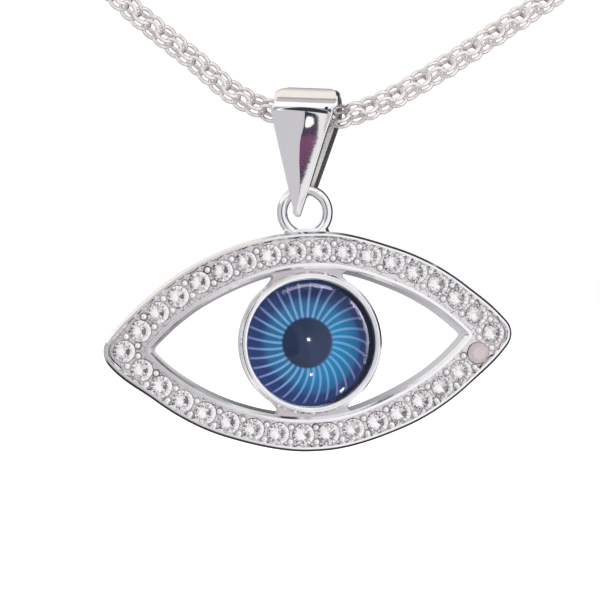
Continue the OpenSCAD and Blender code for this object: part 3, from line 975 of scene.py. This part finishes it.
links = Shell()
for direction in (1, -1):
    at, k = middle + (PHASE if direction > 0 else PHASE - PITCH), 0
    e1 = np.array([0.0, -1, 0])  # carried along the route, so the chain doesn't twist
    while END_ROOM < at < length[-1] - END_ROOM:
        t = on_route(at + 0.3) - on_route(at - 0.3)
        t = t / np.linalg.norm(t)
        e1 = e1 - (e1 @ t) * t
        e1 = e1 / np.linalg.norm(e1)
        e2 = np.cross(e1, t)
        index = k if direction > 0 else -1 - k
        s = at - middle
        # each pair stands square to the last with a small sway, the left half turned further
        roll = 39 - 6 * math.tanh(s / 3) + (90 if index % 2 else 0) + 2.0 * math.sin(index * 2.3)
        roll = math.radians(roll)
        n = math.cos(roll) * e1 + math.sin(roll) * e2
        v = np.cross(n, t)
        around, wire = (26, 10) if abs(s) < FINE_REACH else (13, 5)
        a, b = circle(around)[:, None], circle(wire)[None]
        radial = np.cos(a)[..., None] * t + np.sin(a)[..., None] * v
        normal = radial * np.cos(b)[..., None] + n * np.sin(b)[..., None]
        for side in (-1, 1):
            centre = on_route(at) + n * APART * side
            links.grid(centre + radial * RING + normal * WIRE, normal, across=True, along=True)
        at += direction * PITCH
        k += 1
mesh("rolo_chain", links, in_place, "necklace", ["chain"], chain_mat)

# Clasp
clasp = Shell()
for sign in (1, -1):
    # the chain's bore, the end, the barrel and the seam in the middle
    p, n = lathe([(0, 3.5, 0), (1.15, 3.5, 0), (1.15, 7.0, 0.1), (1.7, 7.0, 0.3),
                  (1.7, 0.5, 0.15), (1.58, 0.35, 0.1), (1.58, 0, 0)], 1, 48)
    spin = np.array([[0, 0, sign], [0, 1, 0], [-sign, 0, 0]], float)
    clasp.grid(p @ spin.T, n @ spin.T, across=True)
mesh("barrel_clasp", clasp, in_place, "necklace", ["clasp"], clasp_mat)

# Floor
FLOOR_HEIGHT, LINES = -0.152, 9  # metres, and the floor's grid lines each way
floor_mesh = bpy.data.meshes.new("floor")
steps = np.linspace(-6, 6, LINES)
floor_points = [(float(x), float(y), FLOOR_HEIGHT) for y in steps for x in steps]
floor_mesh.from_pydata(floor_points, [], [
    [i * LINES + j, i * LINES + j + 1, (i + 1) * LINES + j + 1, (i + 1) * LINES + j]
    for i in range(LINES - 1) for j in range(LINES - 1)])
floor = new_object("floor", floor_mesh)
pale = bpy.data.materials.new("pale_floor")
pale.use_nodes = True
shader = pale.node_tree.nodes["Principled BSDF"]
fill(shader, {"Base Color": (0.9, 0.9, 0.9, 1), "Roughness": 0.9, "Specular IOR Level": 0.0,
              "Emission Color": (1, 1, 1, 1), "Emission Strength": 0.75})
floor_mesh.materials.append(pale)
floor.visible_glossy = False
floor.visible_transmission = False
floor.visible_shadow = False

# Studio
world = bpy.data.worlds.new("studio")
bpy.context.scene.world = world
world.use_nodes = True
tree = world.node_tree
background = tree.nodes["Background"]
coords = tree.nodes.new("ShaderNodeTexCoord")
wx, wy, wz = parts(tree, coords.outputs["Generated"])
# directions in degrees: to the right of the front, above the horizon, and away from the front
azimuth = wx.atan2(wy * -1.0) * DEGREES
height = wz.asin() * DEGREES
away = (wy * -1.0).op("ARCCOSINE") * DEGREES
# in front: grey on the left, white on the right; a grey wash below
sky = blend(tree, azimuth.ease(7.0, 13.0), (0.53, 0.52, 0.53), (0.98, 0.98, 1.0))
sky = blend(tree, azimuth.ease(-12.0, -45.0) * 0.45, sky, (0.78, 0.76, 0.80))
sky = blend(tree, height.ease(-25.0, -60.0), sky, (0.62, 0.61, 0.63))
# to the sides: grey on the left, dark on the right and below
dark_side = wx.ease(-0.30, 0.25).most(wz.ease(-0.30, -0.60))
beside = blend(tree, dark_side, (0.46, 0.45, 0.46), (0.045, 0.045, 0.05))
sky = blend(tree, away.ease(80.0, 94.0), sky, beside)
# behind: pale on the left and dark on the right, with a pale wall straight behind that is darker
# toward the floor
behind = blend(tree, wx.ease(-0.25, 0.10), (0.60, 0.60, 0.62), (0.10, 0.10, 0.11))
behind = blend(tree, away.ease(164.0, 170.0), behind, (0.70, 0.70, 0.72))
behind = blend(tree, height.ease(12.0, -16.0) * away.ease(160.0, 168.0), behind, (0.30, 0.29, 0.31))
sky = blend(tree, away.ease(138.0, 150.0), sky, behind)
# overhead: white, then grey, then dark, with a cream wall further round
above = away.ease(150.0, 142.0) * (1.0 - away.ease(82.0, 94.0) * wx.ease(0.03, 0.22))
sky = blend(tree, height.ease(20.0, 26.0) * above, sky, (1.10, 1.09, 1.14))
sky = blend(tree, height.ease(42.0, 48.0) * away.ease(86.0, 80.0), sky, (0.56, 0.52, 0.52))
sky = blend(tree, height.ease(60.0, 65.0) * away.ease(86.0, 80.0), sky, (0.30, 0.27, 0.27))
cream = blend(tree, away.ease(104.0, 140.0), (0.95, 0.89, 0.81), (0.56, 0.52, 0.50))
sky = blend(tree, away.ease(67.0, 74.0) * height.ease(30.0, 40.0) * above, sky, cream)
# the photographer: a dark shape with a plum phone, and a white gap beside it
shoulder = (height - 1.0).most(0.0) ** 2.0 * -0.045 - 1.4
hem = (((height * -1.0 - 10.6).most(0.0) / 4.2) ** 2.6) * 12.0
edge = shoulder - hem
person = ((azimuth - edge).ease(0.9, -0.9) * azimuth.ease(-21.5, -19.5)
          * height.ease(-16.6, -15.4) * height.ease(20.0, 16.0))
gap = ((azimuth - edge).ease(-0.9, 0.9) * azimuth.ease(4.2, 3.2)
       * height.ease(-21.0, -18.0) * height.ease(19.0, 15.0))
clothes = blend(tree, height.ease(-13.0, -11.4), (0.055, 0.045, 0.07), (0.20, 0.07, 0.16))
clothes = blend(tree, height.ease(-9.8, -7.8), clothes, (0.075, 0.055, 0.095))
clothes = blend(tree, height.ease(4.5, 8.0), clothes, (0.022, 0.036, 0.07))
sky = blend(tree, gap, sky, (0.88, 0.86, 0.86))
sky = blend(tree, person, sky, clothes)
seen = tree.nodes.new("ShaderNodeLightPath")
final = blend(tree, Num(tree, seen.outputs["Is Camera Ray"]), sky, (1.0, 1.0, 1.0))
tree.links.new(final, background.inputs["Color"])
background.inputs["Strength"].default_value = 1.0

EYE_MIDDLE = in_eye(np.zeros((1, 3)))[0]


def lamp(name, az, el, size, radiance, colour=(1, 1, 1), distance=400.0, target=EYE_MIDDLE):
    """A square lamp, by its direction from the target in degrees and its sizes in millimetres."""
    a, e = math.radians(az), math.radians(el)
    way = np.array([math.sin(a) * math.cos(e), -math.cos(a) * math.cos(e), math.sin(e)])
    data = bpy.data.lights.new(name, "AREA")
    data.size = size / 1000
    data.energy = radiance * math.pi * (size / 1000) ** 2
    data.color = colour
    o = new_object(name, data)
    o.location = (target + way * distance) / 1000
    o.rotation_euler = Vector((-way).tolist()).to_track_quat("-Z", "Y").to_euler()
    o.visible_camera = False
    return o


key = lamp("key", 35, 42, 120, 12.0, (1.0, 0.98, 0.95))
key.visible_glossy = key.visible_transmission = False
# the camera's own small light, seen in the bail
flash = lamp("flash", -10.0, 2.9, 46, 1.12, (1.0, 0.91, 0.76), 300.0, BAIL_CENTRE)
flash.data.shape = "ELLIPSE"
flash.data.size_y = 0.050


def only_for(light, group):
    light.light_linking.receiver_collection = group


bail_group = bpy.data.collections.new("seen_in_bail")
bail_group.objects.link(bail_piece)
dome_group = bpy.data.collections.new("seen_in_dome")
dome_group.objects.link(dome_piece)
only_for(flash, bail_group)
only_for(lamp("dot", 8.4, 2.3, 15, 170.0), dome_group)
only_for(lamp("low_dot", 12.5, -32.5, 18, 60.0), dome_group)


DOME_WAY = math.radians(12)  # twice the eye's turn: where the dome's middle mirrors the camera


def arc_lamp(name, around, off, long, thin, radiance):
    """A strip that the dome's rim reflects as a short arc.

    Its direction is off degrees away from the dome's mirrored axis, and around degrees up from
    the right about it.
    """
    main = Vector((math.sin(DOME_WAY), -math.cos(DOME_WAY), -0.025)).normalized()
    side = Vector((0, 0, 1)).cross(main).normalized()
    up = main.cross(side)
    a, t = math.radians(around), math.radians(off)
    out = side * math.cos(a) + up * math.sin(a)
    tangent = up * math.cos(a) - side * math.sin(a)
    way = main * math.cos(t) + out * math.sin(t)
    o = lamp(name, 0, 0, long, radiance, (1.0, 0.93, 1.0))
    o.data.shape = "RECTANGLE"
    o.data.size_y = thin / 1000
    o.data.energy *= thin / long
    third = way.cross(tangent).normalized()
    o.location = Vector((EYE_MIDDLE / 1000).tolist()) + way * 0.4
    o.rotation_euler = Matrix((tangent, third, way)).transposed().to_euler()
    only_for(o, dome_group)


for k, (around, radiance) in enumerate(((-12, 9.0), (4, 13.0), (20, 20.0), (35, 20.0))):
    arc_lamp(f"right_arc_{k}", around, 59.6, 102, 34, radiance)
for k, (around, radiance) in enumerate(((74, 22.0), (91, 18.0), (108, 12.0))):
    arc_lamp(f"top_arc_{k}", around, 60.6, 108, 46, radiance)
arc_lamp("low_arc", -54, 58.2, 34, 12, 90.0)

# Camera
PIXELS, MM_PER_PIXEL, SENSOR = 600, 0.0775, 36
DISTANCE = 130.0  # millimetres in front of the eye
camera = new_object("camera", bpy.data.cameras.new("camera"))
camera.data.sensor_width = SENSOR
camera.data.lens = SENSOR * DISTANCE / (PIXELS * MM_PER_PIXEL)
camera.data.clip_start, camera.data.clip_end = 0.01, 50
camera.location = (-0.00064517, (-105.9 - DISTANCE) / 1000, -0.127939)
camera.rotation_euler = (math.radians(90), 0, 0)
scene = bpy.context.scene
scene.camera = camera
scene.view_settings.view_transform = "Standard"
scene.cycles.use_denoising = True
scene.cycles.caustics_refractive = True
scene.cycles.caustics_reflective = True
scene.cycles.max_bounces = 14
scene.cycles.transmission_bounces = 12
scene.cycles.glossy_bounces = 6
scene.cycles.sample_clamp_indirect = 6
